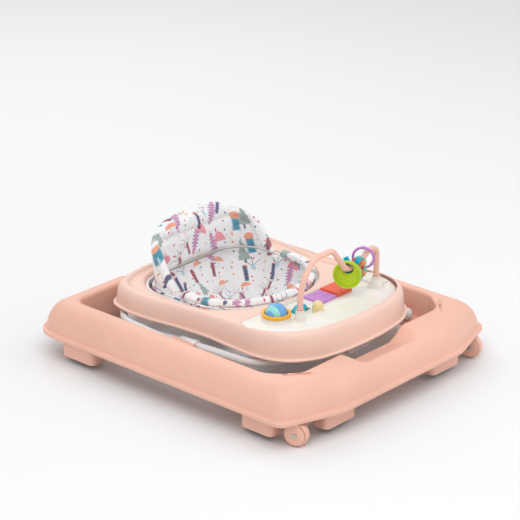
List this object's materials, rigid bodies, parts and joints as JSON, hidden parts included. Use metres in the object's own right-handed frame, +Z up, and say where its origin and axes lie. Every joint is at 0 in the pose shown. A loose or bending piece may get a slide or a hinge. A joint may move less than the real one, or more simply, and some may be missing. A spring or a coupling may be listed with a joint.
{
  "type": "baby walker",
  "caption": "Folding baby walker: a wheeled ring base, scissor tube frame, height-adjustable tray with a padded fabric seat, and a removable toy panel with a bead bar.",
  "frame": {"origin": "on the floor under the centre of the base ring", "axes": "+Z up; -Y is the front, with the toy panel; +Y the back of the seat; +X the child's left-hand side"},
  "size_m": [0.628, 0.72, 0.283],
  "materials": {
    "ring_plastic": "satin, finely textured",
    "tray_plastic": "satin",
    "cream_plastic": "glossy",
    "white_plastic": "glossy",
    "white_paint": "powder coat",
    "steel": "zinc plated",
    "pad_rubber": "matt",
    "seat_fabric": "printed woven polyester",
    "liner_board": "matt",
    "circuit": "printed board",
    "bead_bar_plastic": "satin",
    "yellow_orange": "glossy",
    "ball_blue": "glossy",
    "turquoise": "glossy",
    "clear_yellow": "translucent",
    "purple": "glossy",
    "red_orange": "glossy",
    "lime": "glossy",
    "clear_white": "translucent",
    "cyan": "glossy",
    "orange": "glossy",
    "red": "glossy",
    "mint": "glossy"
  },
  "bodies": {
    "base": {"base_shell": "ring_plastic", "side_stoppers": "ring_plastic", "end_stoppers": "ring_plastic", "brake_pads": "pad_rubber", "base_screws": "steel", "pivot_brackets": "ring_plastic", "pivot_pins": "steel", "slide_ledges": "ring_plastic", "caster_sockets": "ring_plastic", "rear_wheel_brackets": "ring_plastic", "rear_axles": "steel"},
    "inner_frame": {"front_lift_tube": "white_paint", "end_plugs": "white_plastic", "inner_hubs": "ring_plastic", "hub_pins": "steel"},
    "outer_frame": {"rear_lift_tube": "white_paint", "slide_shoes": "white_plastic", "outer_hubs": "ring_plastic"},
    "tray": {"tray_top": "tray_plastic", "crossbar_saddles": "white_plastic", "adjuster_housing": "white_plastic", "seat_rim": "white_plastic", "seat_bucket": "seat_fabric", "seat_edge_roll": "seat_fabric", "backrest_pad": "seat_fabric", "back_board": "liner_board"},
    "latch": {"adjuster_latch": "white_plastic"},
    "panel": {"toy_panel": "cream_plastic", "panel_bottom_cover": "cream_plastic", "battery_door": "cream_plastic", "arch_bar": "bead_bar_plastic", "arch_collars": "bead_bar_plastic", "ball_ring": "yellow_orange", "button_return_pad": "pad_rubber", "speaker": "steel", "sound_board": "circuit"},
    "ball": {"spin_ball": "ball_blue"},
    "rocker": {"rocker_key": "turquoise"},
    "button": {"dome_button": "clear_yellow"},
    "purple_key": {"purple_key": "purple"},
    "red_key": {"red_key": "red_orange"},
    "caster_left": {"caster_fork_left": "ring_plastic", "caster_stem_left": "steel", "caster_axle_left": "steel"},
    "front_wheel_left": {"caster_wheel_left": "ring_plastic"},
    "rear_wheel_left": {"rear_wheel_left": "ring_plastic"},
    "caster_right": {"caster_fork_right": "ring_plastic", "caster_stem_right": "steel", "caster_axle_right": "steel"},
    "front_wheel_right": {"caster_wheel_right": "ring_plastic"},
    "rear_wheel_right": {"rear_wheel_right": "ring_plastic"},
    "lime_disc": {"lime_disc": "lime"},
    "clear_disc": {"clear_disc": "clear_white"},
    "blue_cross": {"blue_cross": "cyan"},
    "orange_cross": {"orange_cross": "orange"},
    "red_drop": {"red_drop": "red"},
    "mint_leaf": {"mint_leaf": "mint"},
    "purple_ring": {"purple_ring": "purple"}
  },
  "joints": [
    {"name": "lift", "type": "hinge", "parent": "base", "child": "inner_frame", "pos_m": [0, 0.226, 0.072], "axis": [-1, 0, 0], "range_deg": [0, 26.5]},
    {"name": "scissor", "type": "hinge", "parent": "inner_frame", "child": "outer_frame", "pos_m": [0, 0.021, 0.084], "axis": [-1, 0, 0], "range_deg": [-53, 0]},
    {"name": "tray_level", "type": "hinge", "parent": "outer_frame", "child": "tray", "pos_m": [0, 0.226, 0.096], "axis": [-1, 0, 0], "range_deg": [0, 26.5]},
    {"name": "latch_pull", "type": "slide", "parent": "tray", "child": "latch", "axis": [0, -1, 0], "range_m": [0, 0.01], "stiffness_N_per_m": 300},
    {"name": "panel_lift_off", "type": "slide", "parent": "tray", "child": "panel", "axis": [0, 0, 1], "range_m": [0, 0.06]},
    {"name": "caster_swivel_left", "type": "hinge", "parent": "base", "child": "caster_left", "pos_m": [-0.268, -0.312, 0.06], "axis": [0, 0, 1], "continuous": true},
    {"name": "front_wheel_spin_left", "type": "hinge", "parent": "caster_left", "child": "front_wheel_left", "pos_m": [-0.26669, -0.31578, 0.024], "axis": [-0.945, -0.327, 0], "continuous": true},
    {"name": "rear_wheel_spin_left", "type": "hinge", "parent": "base", "child": "rear_wheel_left", "pos_m": [-0.215, 0.324, 0.024], "axis": [1, 0, 0], "continuous": true},
    {"name": "caster_swivel_right", "type": "hinge", "parent": "base", "child": "caster_right", "pos_m": [0.268, -0.312, 0.06], "axis": [0, 0, 1], "continuous": true},
    {"name": "front_wheel_spin_right", "type": "hinge", "parent": "caster_right", "child": "front_wheel_right", "pos_m": [0.26931, -0.31578, 0.024], "axis": [-0.945, -0.327, 0], "continuous": true},
    {"name": "rear_wheel_spin_right", "type": "hinge", "parent": "base", "child": "rear_wheel_right", "pos_m": [0.215, 0.324, 0.024], "axis": [1, 0, 0], "continuous": true},
    {"name": "ball_spin", "type": "hinge", "parent": "panel", "child": "ball", "pos_m": [-0.116, -0.13, 0.164], "axis": [1, 0, 0], "continuous": true},
    {"name": "rocker_tilt", "type": "hinge", "parent": "panel", "child": "rocker", "pos_m": [-0.047, -0.13, 0.146], "axis": [1, 0, 0], "range_deg": [-8, 8], "stiffness_Nm_per_rad": 0.05},
    {"name": "button_press", "type": "slide", "parent": "panel", "child": "button", "axis": [0, 0, -1], "range_m": [0, 0.003], "stiffness_N_per_m": 400, "springref_m": -0.001, "deforming": ["button_return_pad"]},
    {"name": "purple_key_press", "type": "slide", "parent": "panel", "child": "purple_key", "axis": [0, 0, -1], "range_m": [0, 0.002], "stiffness_N_per_m": 800, "springref_m": -0.001},
    {"name": "red_key_press", "type": "slide", "parent": "panel", "child": "red_key", "axis": [0, 0, -1], "range_m": [0, 0.002], "stiffness_N_per_m": 800, "springref_m": -0.001},
    {"name": "lime_disc_swing", "type": "hinge", "parent": "panel", "child": "lime_disc", "pos_m": [0.047, -0.171, 0.2215], "axis": [0.866, 0.5, 0], "range_deg": [-20, 20]},
    {"name": "clear_disc_swing", "type": "hinge", "parent": "panel", "child": "clear_disc", "pos_m": [0.0565, -0.171, 0.219], "axis": [0.866, 0.5, 0], "range_deg": [-20, 20]},
    {"name": "blue_cross_swing", "type": "hinge", "parent": "panel", "child": "blue_cross", "pos_m": [0.063, -0.171, 0.219], "axis": [0.866, 0.5, 0], "range_deg": [-20, 20]},
    {"name": "orange_cross_swing", "type": "hinge", "parent": "panel", "child": "orange_cross", "pos_m": [0.07, -0.171, 0.219], "axis": [0.866, 0.5, 0], "range_deg": [-20, 20]},
    {"name": "red_drop_swing", "type": "hinge", "parent": "panel", "child": "red_drop", "pos_m": [0.077, -0.171, 0.219], "axis": [0.866, 0.5, 0], "range_deg": [-20, 20]},
    {"name": "mint_leaf_swing", "type": "hinge", "parent": "panel", "child": "mint_leaf", "pos_m": [0.0855, -0.171, 0.222], "axis": [0.866, 0.5, 0], "range_deg": [-20, 20]},
    {"name": "purple_ring_swing", "type": "hinge", "parent": "panel", "child": "purple_ring", "pos_m": [0.097, -0.171, 0.229], "axis": [0.866, 0.5, 0], "range_deg": [0, 45]}
  ],
  "couplings": [
    {"joint": "scissor", "follows": "lift", "ratio": -2},
    {"joint": "tray_level", "follows": "lift", "ratio": 1}
  ]
}
